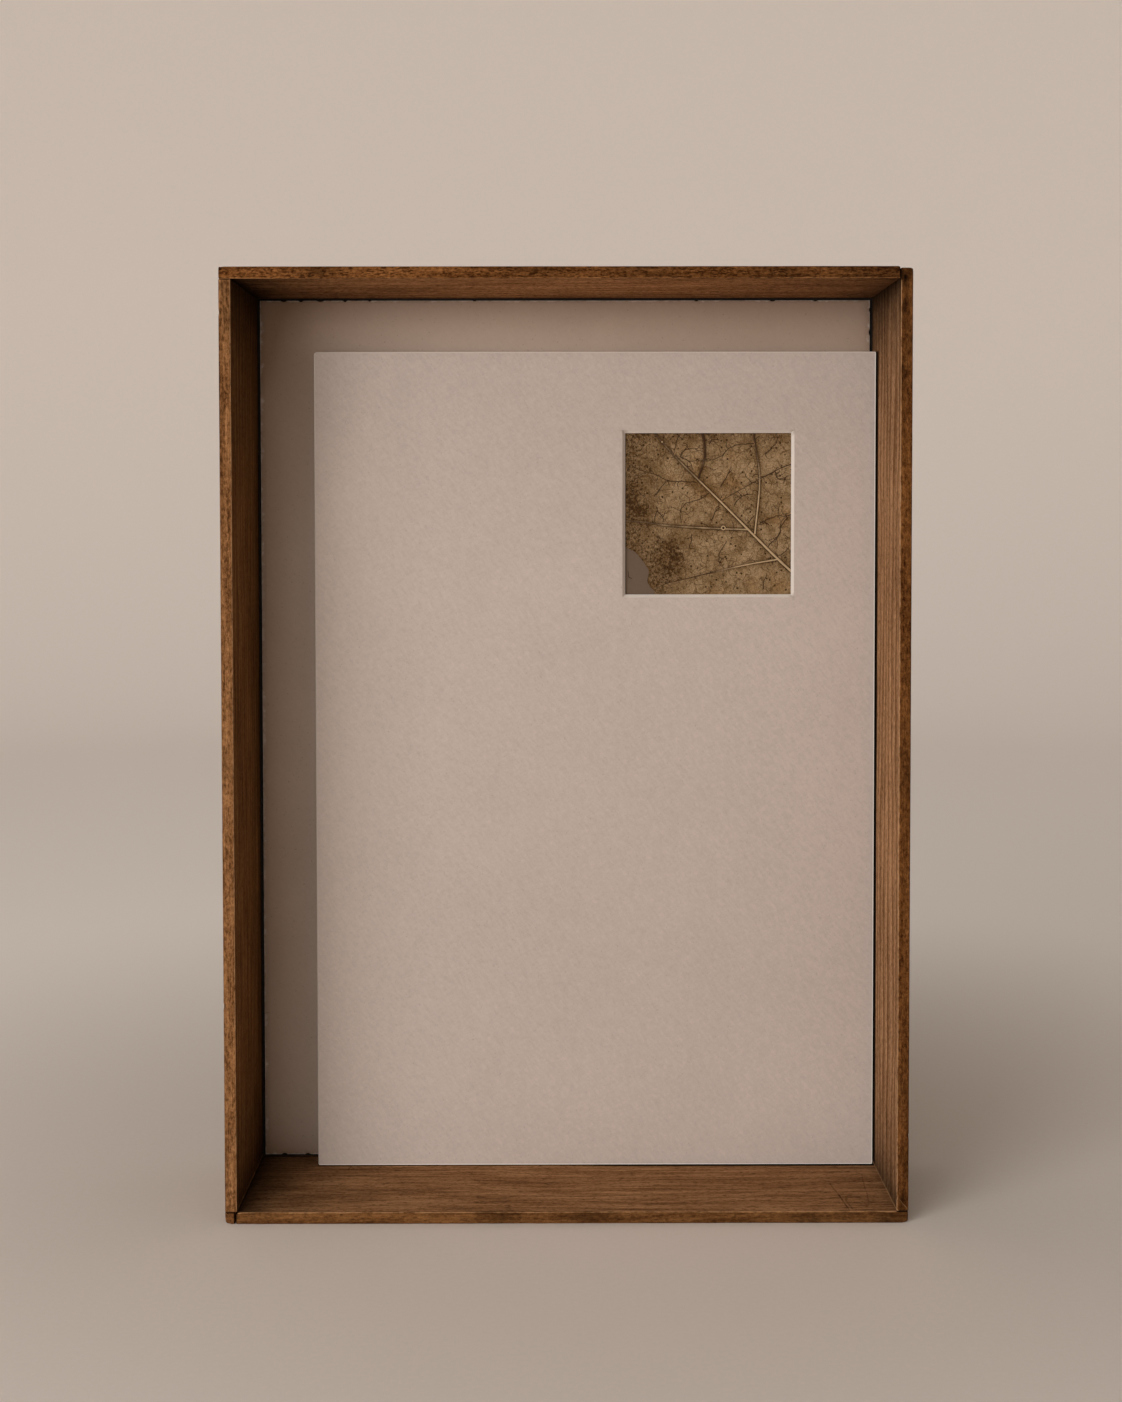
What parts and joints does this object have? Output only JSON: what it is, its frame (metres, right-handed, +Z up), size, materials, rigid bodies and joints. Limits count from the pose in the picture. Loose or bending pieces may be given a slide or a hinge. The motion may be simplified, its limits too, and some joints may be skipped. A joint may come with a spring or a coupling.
{
  "type": "display case",
  "caption": "Open-fronted upright wooden box case with butt-jointed boards, a pale lining and a loose insert whose bevelled window mat shows a dried leaf.",
  "frame": {"origin": "on the surface the case stands on, under the middle of the case", "axes": "+Z up along the tall side, +X to the right as seen from the front, the open front faces -Y"},
  "size_m": [0.3108, 0.085, 0.4332],
  "materials": {
    "case_wood": "oiled, brown stained",
    "back_wood": "plain sanded plywood",
    "batten_wood": "unfinished planed softwood",
    "lining_card": "matt warm grey card",
    "mat_card": "matt warm beige mount board",
    "mount_card": "matt pale mount board",
    "hinge_tape": "fine woven linen tape",
    "strap_paper": "thin gummed paper",
    "leaf": "dry matt leaf",
    "pin_steel": "dull, slightly tarnished"
  },
  "bodies": {
    "case": {"top_board": "case_wood", "right_board": "case_wood", "bottom_board": "case_wood", "left_board": "case_wood", "corner_strip": "case_wood", "back_panel": "back_wood", "lining_board": "lining_card", "top_left_pins": "pin_steel", "top_right_pins": "pin_steel", "bottom_right_pins": "pin_steel", "bottom_left_pins": "pin_steel", "back_panel_pins": "pin_steel"},
    "insert": {"mount_board": "mount_card", "left_batten": "batten_wood", "right_batten": "batten_wood", "top_batten": "batten_wood", "bottom_batten": "batten_wood", "mount_tape": "hinge_tape", "leaf": "leaf", "leaf_straps": "strap_paper"},
    "window": {"window_mat": "mat_card", "mat_tape": "hinge_tape"}
  },
  "joints": [
    {"name": "insert_slide", "type": "slide", "parent": "case", "child": "insert", "axis": [0, -1, 0], "range_m": [0, 0.1]},
    {"name": "mat_hinge", "type": "hinge", "parent": "insert", "child": "window", "pos_m": [-0.1207, 0.0238, 0.2], "axis": [0, 0, -1], "range_deg": [0, 110]}
  ]
}
